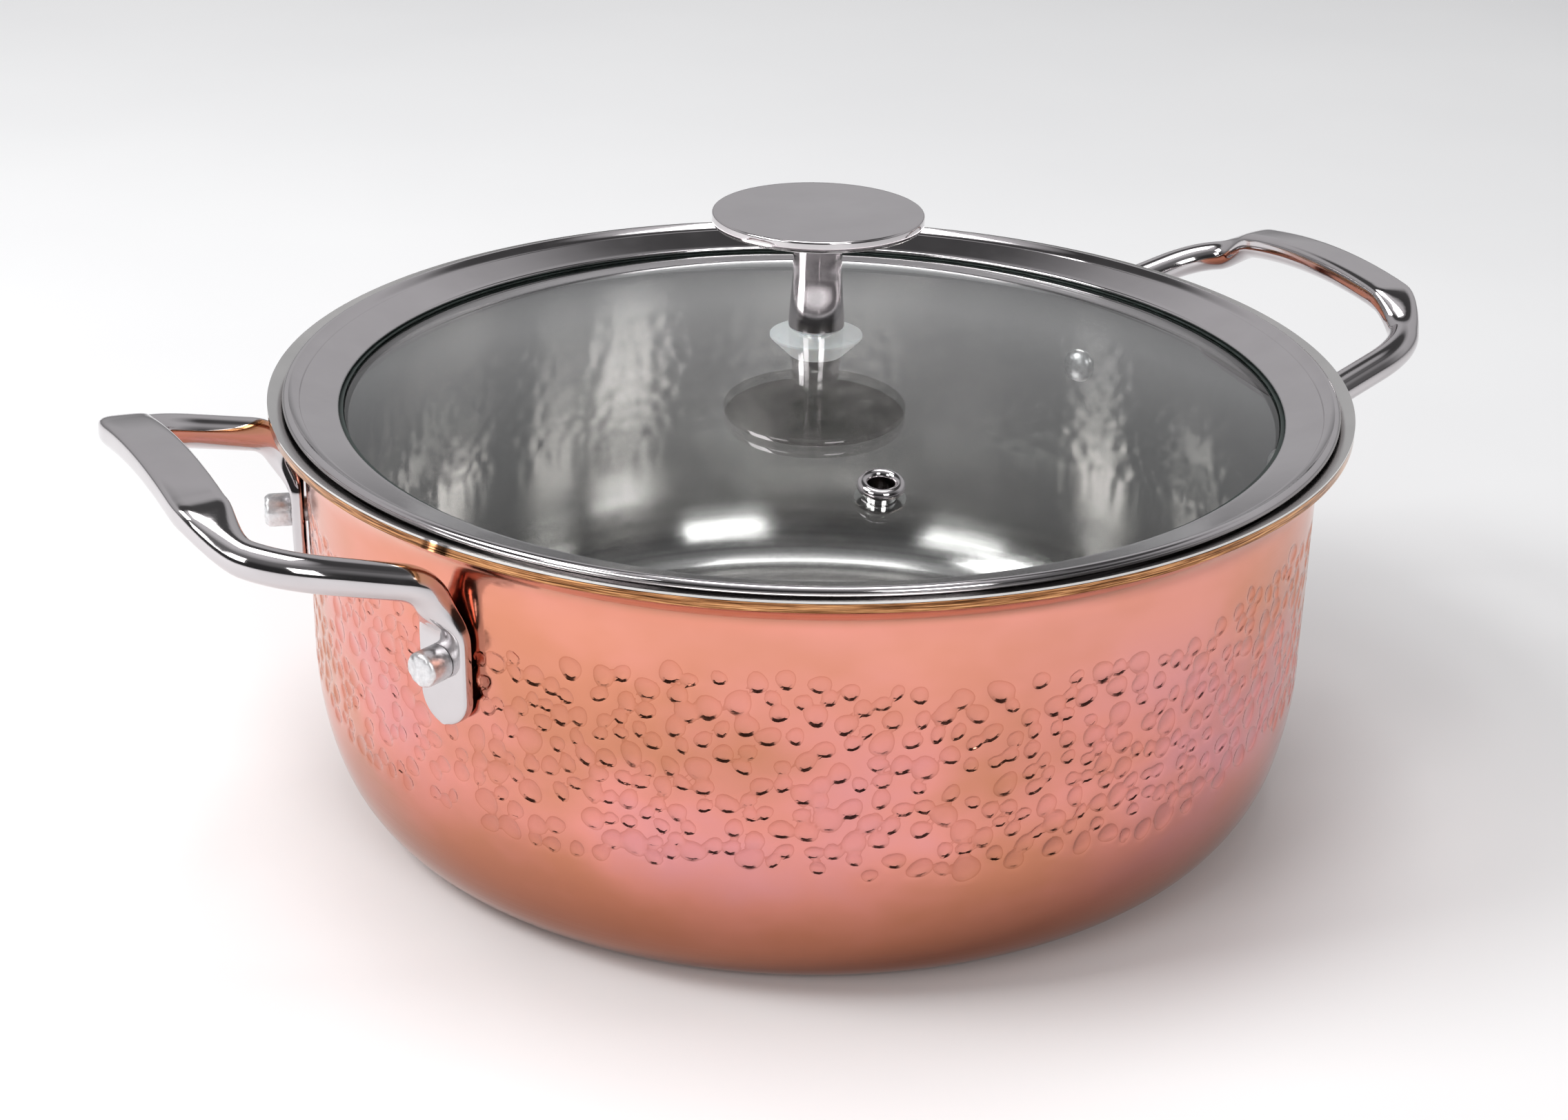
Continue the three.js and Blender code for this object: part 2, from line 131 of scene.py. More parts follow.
def finished(name, shape, body, material, replaced, crease=30):
    """Make a bmesh a finished piece that rides on a body and stands for CAD nodes."""
    for face in shape.faces:
        face.smooth = True
    for edge in shape.edges:
        edge.smooth = edge.calc_face_angle(0) < math.radians(crease)
    mesh = bpy.data.meshes.new(name)
    shape.to_mesh(mesh)
    shape.free()
    mesh.materials.append(material)
    piece = bpy.data.objects.new(name, mesh)
    bpy.context.scene.collection.objects.link(piece)
    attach(piece, body)
    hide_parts(*replaced)
    return piece


def pushed(shape, amount):
    """Move each vertex inwards along its normal by amount(angle, height, radius), in millimetres."""
    shape.normal_update()
    place = np.array([v.co for v in shape.verts]) / MM
    radius = np.hypot(place[:, 0], place[:, 1])
    depth = amount(np.arctan2(place[:, 1], place[:, 0]), place[:, 2], radius)
    for vertex, inward in zip(shape.verts, depth):
        vertex.co -= vertex.normal * float(inward) * MM


# ---- Pot ----
def wall_outline(depth, wall_rows, heel_rows=14, flare_rows=8, fine_from=None):
    """The wall's outline at a depth below its outside, from the axis to the rim.
    Above the height fine_from the heel's rows stand as close as the wall's."""
    outline = [(0, depth), (40, depth), (80, depth)]
    turns = list(np.linspace(0, math.pi / 2, heel_rows + 1))
    if fine_from:
        step = (NECK_HEIGHT - HEEL_HEIGHT) / wall_rows
        rows = np.arange(HEEL_HEIGHT, fine_from, -step)[::-1]
        below = (HEEL_HEIGHT - rows) / HEEL_HEIGHT
        fine = [math.acos(share) for share in below ** (1 / HEEL_POWER)]
        turns = [turn for turn in turns if turn < fine[0] - 0.03] + fine
    for angle in turns:
        outline.append((
            BASE_FLAT_RADIUS + (WALL_RADIUS - BASE_FLAT_RADIUS - depth) * math.sin(angle) ** HEEL_POWER,
            HEEL_HEIGHT - (HEEL_HEIGHT - depth) * max(0, math.cos(angle)) ** HEEL_POWER,
        ))
    for height in np.linspace(HEEL_HEIGHT, NECK_HEIGHT, wall_rows + 1)[1:-1]:
        outline.append((WALL_RADIUS - depth, height))
    radius = FLARE_RADIUS + depth
    stop = math.degrees(math.acos((FLARE_CENTRE - RIM_RADIUS) / radius))
    return outline + arc((FLARE_CENTRE, NECK_HEIGHT), radius, 180, 180 - stop, flare_rows)


def wall_outside(height):
    """The outside radius of the wall at each height."""
    below = np.clip((HEEL_HEIGHT - height) / HEEL_HEIGHT, 0, 1)
    cosine = below ** (1 / HEEL_POWER)
    sine = np.sqrt(1 - cosine ** 2)
    return BASE_FLAT_RADIUS + (WALL_RADIUS - BASE_FLAT_RADIUS) * sine ** HEEL_POWER


def hammer_marks():
    """Rows of angle, height, half sizes, turn and depth. A blow too near an earlier one is dropped."""
    chance = np.random.default_rng(11)
    marks = np.empty((0, 6))
    for _ in range(HAMMER_BLOWS):
        angle = chance.uniform(-math.pi, math.pi)
        edge_wave = 1.8 * math.sin(5 * angle) + 1.2 * math.sin(11 * angle + 1)
        height = chance.uniform(HAMMERED_FROM, HAMMERED_TO) + edge_wave
        size = 1.9 + 1.6 * chance.uniform(0, 1) ** 1.5
        blow = (angle, height, size, size * chance.uniform(0.7, 0.98),
                chance.uniform(-1.5, 1.5), chance.uniform(0.3, 0.46))
        along = (marks[:, 0] - angle + math.pi) % FULL_TURN - math.pi
        apart = np.hypot(along * WALL_RADIUS, marks[:, 1] - height)
        if np.all(apart > HAMMER_OVERLAP * (marks[:, 2] + size)):
            marks = np.vstack([marks, blow])
    return marks


def hammered(angle, height):
    """At each place, the hammer's depth, and the reach to the nearest mark: 1 at the mark's edge."""
    depth = np.zeros_like(height)
    nearest = np.full_like(height, FAR_FROM_MARKS)
    for mark_angle, mark_height, long_half, short_half, turn, deepest in MARKS:
        along = (angle - mark_angle + math.pi) % FULL_TURN - math.pi
        close = np.abs(along) * WALL_RADIUS < MARK_REACH
        near = np.flatnonzero(close & (np.abs(height - mark_height) < MARK_REACH))
        x = along[near] * WALL_RADIUS
        z = height[near] - mark_height
        u = (x * math.cos(turn) + z * math.sin(turn)) / long_half
        v = (z * math.cos(turn) - x * math.sin(turn)) / short_half
        bearing = np.arctan2(v, u)
        wobble = 0.05 * np.sin(3 * bearing + 3 * mark_height)
        reach = np.hypot(u, v) * (1 + wobble)
        bowl = deepest * np.clip(1 - reach ** 2.5, 0, None) * (1 - 0.15 * z)
        depth[near] = np.maximum(depth[near], bowl)
        nearest[near] = np.minimum(nearest[near], reach)
    return depth, nearest


MARKS = hammer_marks()


def soft_waves(angle, height):
    """Broad, shallow unevenness left by forming."""
    low = np.exp(-((height - 34) / 16) ** 2)
    return 0.3 * low * np.sin(13 * angle + 0.11 * height) * np.sin(4 * angle + 0.06 * height + 1)


def copper_shape():
    """Copper shell with its hammered outside."""
    outside = wall_outline(0, wall_rows=56, heel_rows=18, flare_rows=7, fine_from=27)
    inside = wall_outline(COPPER_THICKNESS, wall_rows=2, heel_rows=5, flare_rows=5)
    shape = spun(outside + inside[::-1], 860)

    def amount(angle, height, radius):
        on_outside = np.abs(radius - wall_outside(height)) < 0.4
        on_wall = on_outside & (height > 8) & (height < NECK_HEIGHT)
        depth, nearest = hammered(angle, height)
        marked = shape.verts.layers.float.new("hammer_reach")
        for vertex, reach in zip(shape.verts, np.where(on_wall, nearest, FAR_FROM_MARKS)):
            vertex[marked] = float(reach)
        return np.where(on_wall, depth + soft_waves(angle, height), 0)

    pushed(shape, amount)
    return shape


def lining_shape():
    """Steel lining, on which the hammer blows show faintly from behind."""
    outside = wall_outline(COPPER_THICKNESS + BOND_GAP, wall_rows=2, heel_rows=8, flare_rows=6)
    inside = wall_outline(WALL_THICKNESS, wall_rows=44, heel_rows=22)
    shape = spun(outside + inside[::-1], 640)

    def amount(angle, height, radius):
        on_inside = np.abs(radius - wall_outside(height) + WALL_THICKNESS) < 0.3
        on_wall = on_inside & (height > 12) & (height < NECK_HEIGHT)
        return np.where(on_wall, -SHOWN_ON_LINING * hammered(angle, height)[0], 0)

    pushed(shape, amount)
    return shape


def rivet_shape(angle):
    """Domed head inside the pot, shank, and a peened stub outside, lying along the radius."""
    seat = WALL_RADIUS - WALL_THICKNESS - 0.2
    stub = TAB_OUTER_FACE + 0.1
    end = stub + 6.2
    head = [(4.6 * x, seat + 2.8 * y) for x, y in arc((0, 0), 1, -90, 0, 12)]
    outline = [
        *head, (3, seat), (3, stub), (3.85, stub), (4, stub + 0.3),
        *arc((2.6, end - 1.4), 1.4, 0, 65, 6), (2.2, end - 0.05), (1.2, end + 0.05), (0, end),
    ]
    shape = spun(outline, 48, closed=False)
    for vertex in shape.verts:
        x, y, z = vertex.co / MM
        if z > stub + 1:
            vertex.co.z += 0.16 * MM * math.sin(1.9 * x + 0.7) * math.cos(2.3 * y)
            vertex.co.x *= 1 + 0.02 * math.sin(3 * math.atan2(y, x))
    lying = Matrix.Rotation(angle, 4, "Z") @ Matrix.Translation((0, 0, RIVET_HEIGHT * MM))
    shape.transform(lying @ Matrix.Rotation(math.pi / 2, 4, "Y"))
    return shape


# ---- Handle ----
def rounded_line(corners, rounding, count):
    """Evenly dense points along a line whose corners are rounded."""
    line = [corners[0]]
    for before, corner, after, radius in zip(corners, corners[1:], corners[2:], rounding):
        inward = (before - corner).normalized()
        outward = (after - corner).normalized()
        reach = radius / math.tan(inward.angle(outward) / 2)
        start, end = corner + inward * reach, corner + outward * reach
        for t in np.linspace(0, 1, 40):
            line.append(start * (1 - t) ** 2 + corner * 2 * t * (1 - t) + end * t ** 2)
    line.append(corners[-1])
    line = np.array(line)
    travelled = np.concatenate([[0], np.cumsum(np.linalg.norm(np.diff(line, axis=0), axis=1))])
    spread = 0.5 - 0.5 * np.cos(np.linspace(0, math.pi, count))
    wanted = travelled[-1] * (0.35 * spread + 0.65 * np.linspace(0, 1, count))
    points = np.stack([np.interp(wanted, travelled, line[:, axis]) for axis in range(3)], axis=1)
    return points, wanted


def handle_line(count):
    """The middle line of the right handle, from one tab's foot to the other's."""
    middle = (TAB_INNER_FACE + TAB_OUTER_FACE) / 2

    def side(sign):
        angle = sign * RIVET_HALF_ANGLE

        def beside(distance, height):
            return Vector((distance * math.cos(angle), distance * math.sin(angle), height))

        bend = beside(middle + ROD_BEND["outward"], ROD_BEND["height"])
        corner = Vector((GRIP["reach"], bend.y - sign * LEG_INSET, GRIP["height"]))
        return [beside(middle, TAB["bottom"]), beside(middle, SHOULDER["height"]), bend, corner]

    rounding = [SHOULDER["radius"], ROD_BEND["radius"], GRIP_CORNER_RADIUS]
    return rounded_line(side(-1) + side(1)[::-1], rounding + rounding[::-1], count)


def ease(value, start, stop):
    """0 before start, 1 after stop, and smooth in between."""
    t = min(1, max(0, (value - start) / (stop - start)))
    return t * t * (3 - 2 * t)


def mix(a, b, share):
    return a + (b - a) * share


def handle_shape(turn):
    """A rod whose ends are forged flat and whose grip is pressed flat on top."""
    rings, sides = 200, 40
    points, travelled = handle_line(rings + 1)
    tangents = np.gradient(points, axis=0)
    shape = bmesh.new()
    bmesh.ops.create_grid(shape, x_segments=rings, y_segments=sides, size=0.5)
    for vertex in shape.verts:
        ring = round((vertex.co.x + 0.5) * rings)
        turned = (vertex.co.y + 0.5) * FULL_TURN
        centre, tangent = Vector(points[ring]), Vector(tangents[ring]).normalized()
        from_end = min(travelled[ring], travelled[-1] - travelled[ring])
        from_middle = abs(travelled[ring] - travelled[-1] / 2)
        tab_height = TAB["top"] - TAB["bottom"]
        round_rod = ease(from_end, tab_height - 5, tab_height + 7)
        foot = TAB["width"] / 2
        tab_half = math.sqrt(max(0.3, foot ** 2 - max(0, foot - from_end) ** 2))
        grip = 1 - ease(from_middle, *GRIP_RAMP)
        arch = max(0, 1 - (from_middle / GRIP_RAMP[0]) ** 2)
        half_width = mix(mix(tab_half, ROD_RADIUS, round_rod), GRIP["width"] / 2, grip)
        above = mix(mix(TAB["thickness"] / 2, ROD_RADIUS, round_rod), GRIP["above"], grip)
        below = mix(mix(TAB["thickness"] / 2, ROD_RADIUS, round_rod), GRIP["below"], grip)
        flat_top, flat_below = max(1 - round_rod, grip), 1 - round_rod
        to_pot = Vector((-centre.x, -centre.y, 0)).normalized()
        up = to_pot.lerp(Vector((0, 0, 1)), ease(from_end, tab_height, tab_height + 25))
        up = (up - tangent * up.dot(tangent)).normalized()
        across = tangent.cross(up)
        x, z = math.cos(turned), math.sin(turned)
        power = mix(1, 0.36, flat_top if z > 0 else flat_below)
        x = math.copysign(abs(x) ** power, x)
        z = math.copysign(abs(z) ** power, z)
        thickness = above if z > 0 else below
        lift = GRIP["lift"] * grip + GRIP["arch"] * arch
        vertex.co = (centre + across * half_width * x + up * (lift + thickness * z)) * MM
    bmesh.ops.remove_doubles(shape, verts=shape.verts, dist=1e-6)
    open_ends = [edge for edge in shape.edges if edge.is_boundary]
    bmesh.ops.holes_fill(shape, edges=open_ends, sides=0)
    bmesh.ops.recalc_face_normals(shape, faces=shape.faces)
    shape.transform(Matrix.Rotation(turn, 4, "Z"))
    return shape


# ---- Lid ----
def glass_top(radius):
    return GLASS["top"] - GLASS["sphere"] + math.sqrt(GLASS["sphere"] ** 2 - radius ** 2)


def dome_line(start, stop, offset, steps):
    return [(radius, glass_top(radius) + offset) for radius in np.linspace(start, stop, steps + 1)]


def vent_frame():
    """Where the vent's own Z leaves the top of the glass."""
    distance, angle = VENT["distance"], VENT["angle"]
    tilt = math.asin(distance / GLASS["sphere"])
    place = Vector((distance * math.cos(angle), distance * math.sin(angle), glass_top(distance)))
    turned = Matrix.Rotation(angle, 4, "Z") @ Matrix.Rotation(tilt, 4, "Y")
    return Matrix.Translation(place * MM) @ turned


def glass_shape():
    """Domed glass with its knob hole and vent hole."""
    under = dome_line(GLASS["knob_hole"], GLASS["edge"] - 0.6, -GLASS["thickness"], 40)
    over = dome_line(GLASS["edge"] - 0.6, GLASS["knob_hole"], 0, 40)
    middle = glass_top(GLASS["edge"]) - GLASS["thickness"] / 2
    rim = arc((GLASS["edge"] - 0.6, middle), 0.6, -60, 60, 4)
    sheet = spun(under + rim + over, 260)
    sheet_mesh = bpy.data.meshes.new("glass_blank")
    sheet.to_mesh(sheet_mesh)
    sheet.free()
    blank = bpy.data.objects.new("glass_blank", sheet_mesh)
    drill_shape = bmesh.new()
    hole = (VENT["barrel"] + 0.2) * MM
    bmesh.ops.create_cone(
        drill_shape, cap_ends=True, segments=48, radius1=hole, radius2=hole, depth=30 * MM,
        matrix=vent_frame(),
    )
    drill_mesh = bpy.data.meshes.new("vent_drill")
    drill_shape.to_mesh(drill_mesh)
    drill_shape.free()
    drill = bpy.data.objects.new("vent_drill", drill_mesh)
    for tool in (blank, drill):
        bpy.context.scene.collection.objects.link(tool)
    hole_cut = blank.modifiers.new("vent_hole", "BOOLEAN")
    hole_cut.operation = "DIFFERENCE"
    hole_cut.object = drill
    bpy.context.view_layer.update()
    shape = bmesh.new()
    shape.from_object(blank, bpy.context.evaluated_depsgraph_get())
    for tool in (blank, drill):
        bpy.data.objects.remove(tool)
    return shape


def seal_shape():
    """Thin dark C section round the edge of the glass."""
    inner, outer = 0.15, 0.5
    slot = GLASS["edge"] + inner
    thickness = GLASS["thickness"]
    return spun(
        dome_line(112.8, 118.1, -thickness - outer, 3)
        + dome_line(118.1, 112.8, outer, 3)
        + dome_line(112.8, slot, inner, 2)
        + dome_line(slot, 112.8, -thickness - inner, 2),
        260,
    )


def band_shape():
    """Rolled bead, sloping band with a fine line, rolled hem, and the channel below."""
    sheet, wall, bottom, flange = 0.6, 118.85, 91, 114.6
    slope = (BEAD["at"][1] - HEM["at"][1]) / (BEAD["at"][0] - HEM["at"][0])

    def surface(radius, below=0):
        return (radius, HEM["at"][1] + 0.6 + (radius - HEM["at"][0]) * slope - below)

    outline = [
        (flange, bottom + 0.4), (wall - 0.6, bottom), (wall, bottom + 0.6), surface(wall, 0.9),
        surface(124, 0.9),
        *arc(BEAD["at"], BEAD["radius"], -130, 105, 20),
        surface(123.9, 0.02), surface(122.75), surface(122.6, 0.12), surface(122.45),
        surface(119), surface(115.5),
        *arc(HEM["at"], HEM["radius"], 95, 265, 12),
        surface(wall - sheet, 1.1), (wall - sheet, bottom + 0.9), (flange, bottom + 1),
    ]
    return spun(outline, 320)


def eyelet_shape():
    """Rounded ring on the glass with a barrel through it, rolled over below."""
    below = -GLASS["thickness"] - 0.3 - 0.8 - 0.1
    middle = (VENT["hole"] + VENT["ring"]) / 2
    half = (VENT["ring"] - VENT["hole"]) / 2
    crown = [(middle + half * x, 0.6 + 1.7 * y) for x, y in arc((0, 0), 1, 0, 180, 16)]
    shape = spun([
        (VENT["hole"], below - 0.8), (4.3, below - 0.55), (4.5, below - 0.3), (4.5, below),
        (VENT["barrel"], below), (VENT["barrel"], 0.25), (VENT["ring"] - 0.2, 0.25), *crown,
    ], 64)
    shape.transform(vent_frame())
    return shape


def vent_washer_shape():
    top = -GLASS["thickness"] - 0.25
    shape = spun([
        (3.4, top - 0.85), (5.2, top - 0.85), (5.6, top - 0.5), (5.6, top), (3.4, top),
    ], 64)
    shape.transform(vent_frame())
    return shape


def disc_shape():
    bottom = KNOB_TOP - 2.8
    return spun([
        (0, bottom + 1.2), (3.1, bottom + 1.2), (3.1, bottom),
        (24.5, bottom), *arc((24.6, bottom + 0.6), 0.6, -80, 0, 4),
        *arc((24.65, KNOB_TOP - 0.55), 0.55, 0, 80, 5), (24, KNOB_TOP), (12, KNOB_TOP), (0, KNOB_TOP),
    ], 160, closed=False)


def stem_shape():
    """Round stem that widens to its foot."""
    foot, top = GLASS["top"] + 0.1, KNOB_TOP - 2.9
    side = [
        (5.9 + 0.85 * (1 - ease(height, 0, 15)), foot + height)
        for height in np.linspace(0.5, top - foot, 24)
    ]
    return spun([
        (0, 121), (2.15, 121), (2.15, foot), (6.4, foot), *side,
        (3, top), (3, top + 1.1), (0, top + 1.1),
    ], 96, closed=False)


def cone_washer_shape():
    """Milky cone below the glass, with a sleeve through the knob hole."""
    top = GLASS["top"] - GLASS["thickness"] - 0.1
    return spun([
        (2.15, top - 5), (6.3, top - 5), (6.6, top - 4.8), (10.8, top - 1), (11.1, top - 0.7),
        (11.1, top - 0.3), (3.8, top), (3.8, top + 3.4), (2.15, top + 3.4),
    ], 96)


# ---- Finishes ----
class Finish:
    """A surface's nodes, built step by step on its Principled shader."""

    def __init__(self, name, colour, metallic=0.0, roughness=0.5, **sockets):
        self.material = bpy.data.materials.new(name)
        self.material.use_nodes = True
        self.nodes = self.material.node_tree.nodes
        self.links = self.material.node_tree.links
        self.shader = self.nodes["Principled BSDF"]
        self.shader.inputs["Base Color"].default_value = (*colour, 1)
        self.shader.inputs["Metallic"].default_value = metallic
        self.shader.inputs["Roughness"].default_value = roughness
        for socket, value in sockets.items():
            self.shader.inputs[socket.replace("_", " ")].default_value = value
        self.place = self.nodes.new("ShaderNodeTexCoord").outputs["Object"]
        self.bumped = None

    def stretched(self, scale):
        """The object's own coordinates, scaled unevenly."""
        mapping = self.nodes.new("ShaderNodeMapping")
        mapping.inputs["Scale"].default_value = scale
        self.links.new(self.place, mapping.inputs["Vector"])
        return mapping.outputs["Vector"]

    def around(self):
        """Distance from the axis, and height: grain follows the turning."""
        apart = self.nodes.new("ShaderNodeSeparateXYZ")
        self.links.new(self.place, apart.inputs[0])
        radius = self.maths("SQRT", self.maths(
            "ADD",
            self.maths("MULTIPLY", apart.outputs["X"], apart.outputs["X"]),
            self.maths("MULTIPLY", apart.outputs["Y"], apart.outputs["Y"]),
        ))
        return radius, apart.outputs["Z"]

    def maths(self, operation, first, second=0.0):
        node = self.nodes.new("ShaderNodeMath")
        node.operation = operation
        for socket, value in zip(node.inputs, (first, second)):
            if isinstance(value, (int, float)):
                socket.default_value = value
            else:
                self.links.new(value, socket)
        return node.outputs[0]

    def combine(self, x, y, z):
        node = self.nodes.new("ShaderNodeCombineXYZ")
        for socket, value in zip(node.inputs, (x, y, z)):
            if isinstance(value, (int, float)):
                socket.default_value = value
            else:
                self.links.new(value, socket)
        return node.outputs[0]

    def noise(self, vector, scale, detail=4.0, rough=0.55):
        node = self.nodes.new("ShaderNodeTexNoise")
        node.inputs["Scale"].default_value = scale
        node.inputs["Detail"].default_value = detail
        node.inputs["Roughness"].default_value = rough
        self.links.new(vector, node.inputs["Vector"])
        return node.outputs["Fac"]

    def ramp(self, value, *stops):
        """Colours along a value: stops are (place, colour)."""
        node = self.nodes.new("ShaderNodeValToRGB")
        band = node.color_ramp
        while len(band.elements) < len(stops):
            band.elements.new(0.5)
        for element, (at, colour) in zip(band.elements, stops):
            element.position = at
            element.color = (*colour, 1)
        self.links.new(value, node.inputs["Fac"])
        return node.outputs["Color"]

    def spread(self, value, low, high, to_low, to_high):
        node = self.nodes.new("ShaderNodeMapRange")
        limits = {"From Min": low, "From Max": high, "To Min": to_low, "To Max": to_high}
        for name, number in limits.items():
            node.inputs[name].default_value = number
        self.links.new(value, node.inputs["Value"])
        return node.outputs["Result"]

    def blend(self, share, first, second, way="MIX"):
        node = self.nodes.new("ShaderNodeMix")
        node.data_type = "RGBA"
        node.blend_type = way
        if isinstance(share, float):
            node.inputs["Factor"].default_value = share
        else:
            self.links.new(share, node.inputs["Factor"])
        self.links.new(first, node.inputs["A"])
        self.links.new(second, node.inputs["B"])
        return node.outputs["Result"]

    def colour(self, output):
        self.links.new(output, self.shader.inputs["Base Color"])

    def gloss(self, output):
        self.links.new(output, self.shader.inputs["Roughness"])

    def bump(self, value, strength, height):
        node = self.nodes.new("ShaderNodeBump")
        node.inputs["Strength"].default_value = strength
        node.inputs["Distance"].default_value = height * MM
        self.links.new(value, node.inputs["Height"])
        if self.bumped:
            self.links.new(self.bumped, node.inputs["Normal"])
        self.bumped = node.outputs["Normal"]
        self.links.new(self.bumped, self.shader.inputs["Normal"])


def hammered_copper():
    """Polished copper: fine turned lines, warmer patches, painted shade on the lips of the marks, a
    ground rim.
    """
    finish = Finish("hammered_copper", (0.9, 0.4, 0.27), metallic=1.0)
    radius, height = finish.around()
    patches = finish.noise(finish.stretched((1, 1, 1.6)), 12, 4)
    middle = finish.ramp(
        patches, (0.4, (0.58, 0.235, 0.145)), (0.52, (0.73, 0.285, 0.235)), (0.64, (0.71, 0.3, 0.31)),
    )
    upper = finish.ramp(patches, (0.4, (0.68, 0.27, 0.17)), (0.6, (0.8, 0.33, 0.26)))
    wall = finish.blend(finish.spread(height, 0.062, 0.086, 0, 1), middle, upper)
    # Painted shade: the heel's colour is darkened to stand in for the shaded floor that it reflects.
    heel = finish.ramp(patches, (0.3, (0.33, 0.12, 0.066)), (0.7, (0.42, 0.165, 0.1)))
    marked = finish.nodes.new("ShaderNodeAttribute")
    marked.attribute_name = "hammer_reach"
    reach = marked.outputs["Fac"]
    # Painted shade: the colour is darkened just inside each mark's edge, standing in for the dark
    # reflections on the marks' lips.
    painted_lip_shade = finish.ramp(
        reach, (0.5, (0.98, 0.97, 0.99)), (0.86, (0.93, 0.9, 0.89)), (0.99, (0.8, 0.72, 0.67)),
        (1.0, (1, 1, 1)),
    )
    tone = finish.blend(finish.spread(height, 0.01, 0.042, 0, 1), heel, wall)
    tone = finish.blend(1.0, tone, painted_lip_shade, "MULTIPLY")
    flare = finish.ramp(patches, (0.3, (0.6, 0.3, 0.17)), (0.7, (0.74, 0.4, 0.25)))
    tone = finish.blend(finish.spread(height, 0.093, 0.099, 0, 1), tone, flare)
    lines = finish.noise(finish.stretched((12, 12, 1600)), 1.0, 3)
    grinding = finish.noise(finish.stretched((70, 70, 4000)), 1.0, 4, 0.65)
    ground = finish.ramp(
        grinding, (0.38, (0.08, 0.034, 0.014)), (0.5, (0.34, 0.145, 0.06)), (0.62, (0.8, 0.42, 0.19)),
    )
    edge = finish.spread(radius, 0.1278, 0.1287, 0, 1)
    finish.colour(finish.blend(edge, tone, ground))
    polish = finish.noise(finish.stretched((30, 30, 500)), 1.0, 5)
    finish.gloss(finish.spread(polish, 0.25, 0.8, 0.08, 0.2))
    finish.bump(lines, 0.35, 0.05)
    finish.bump(finish.spread(reach, 0.72, 1.0, 0, 1), 1.0, 0.1)
    return finish.material


def satin_steel():
    """Steel lining: turned lines round the wall and rings on the floor of the pot."""
    finish = Finish(
        "satin_steel", (0.62, 0.6, 0.58), metallic=1.0, Anisotropic=0.85, Anisotropic_Rotation=0.25,
    )
    radius, height = finish.around()
    grain = finish.noise(finish.combine(radius, height, 0.0), 700, 2)
    cloudy = finish.noise(finish.stretched((1, 1, 1)), 22, 4)
    rings = finish.noise(finish.combine(radius, height, 0.0), 260, 3)
    wall = finish.ramp(cloudy, (0.3, (0.62, 0.61, 0.6)), (0.7, (0.78, 0.76, 0.74)))
    base = finish.ramp(rings, (0.35, (0.3, 0.29, 0.29)), (0.65, (0.52, 0.5, 0.5)))
    finish.colour(finish.blend(finish.spread(height, 0.004, 0.03, 0, 1), base, wall))
    finish.gloss(finish.spread(cloudy, 0.3, 0.75, 0.13, 0.24))
    finish.bump(grain, 0.35, 0.06)
    tangent = finish.nodes.new("ShaderNodeTangent")
    tangent.direction_type = "RADIAL"
    tangent.axis = "Z"
    finish.links.new(tangent.outputs["Tangent"], finish.shader.inputs["Tangent"])
    return finish.material


def polished_steel():
    """Mirror-polished steel with a faint uneven haze and hairlines."""
    finish = Finish("polished_steel", (0.62, 0.59, 0.58), metallic=1.0)
    haze = finish.noise(finish.stretched((1, 1, 1)), 60, 4)
    finish.colour(finish.ramp(haze, (0.3, (0.58, 0.55, 0.56)), (0.7, (0.63, 0.6, 0.61))))
    finish.gloss(finish.spread(haze, 0.3, 0.8, 0.05, 0.14))
    finish.bump(finish.noise(finish.stretched((300, 900, 300)), 1.0, 2), 0.03, 0.02)
    return finish.material


def peened_aluminium():
    """Dull rivet metal with hammer bruises."""
    finish = Finish("peened_aluminium", (0.8, 0.8, 0.8), metallic=1.0)
    bruises = finish.noise(finish.stretched((1, 1, 1)), 900, 5)
    finish.colour(finish.ramp(bruises, (0.3, (0.62, 0.61, 0.62)), (0.65, (0.86, 0.86, 0.87))))
    finish.gloss(finish.spread(bruises, 0.3, 0.7, 0.3, 0.5))
    finish.bump(bruises, 0.35, 0.25)
    return finish.material


def clear_glass():
    """Clear glass, a little green, with faint smears."""
    finish = Finish(
        "clear_glass", (0.97, 0.99, 0.98), roughness=0.0, Transmission_Weight=1.0, IOR=1.45,
    )
    smears = finish.noise(finish.stretched((1, 3, 1)), 18, 6, 0.65)
    finish.colour(finish.ramp(smears, (0.3, (0.95, 0.975, 0.965)), (0.7, (0.985, 0.995, 0.99))))
    finish.gloss(finish.spread(smears, 0.5, 0.85, 0.0, 0.025))
    return finish.material


def dark_rubber():
    finish = Finish("dark_rubber", (0.02, 0.03, 0.026), roughness=0.45)
    mottle = finish.noise(finish.stretched((1, 1, 1)), 300, 4)
    finish.colour(finish.ramp(mottle, (0.3, (0.012, 0.018, 0.016)), (0.7, (0.03, 0.045, 0.04))))
    finish.gloss(finish.spread(mottle, 0.3, 0.7, 0.35, 0.55))
    finish.bump(mottle, 0.15, 0.1)
    return finish.material


def milky_silicone():
    # Painted light: the emission makes the washer glow, standing in for light that the glass lid keeps
    # from it.
    finish = Finish(
        "milky_silicone", (0.9, 0.91, 0.91), roughness=0.3, Subsurface_Weight=0.2,
        Emission_Color=(1, 1, 1, 1), Emission_Strength=0.25,
    )
    cloud = finish.noise(finish.stretched((1, 1, 1)), 160, 3)
    finish.colour(finish.ramp(cloud, (0.3, (0.84, 0.86, 0.87)), (0.7, (0.94, 0.95, 0.95))))
    finish.gloss(finish.spread(cloud, 0.3, 0.7, 0.25, 0.4))
    return finish.material


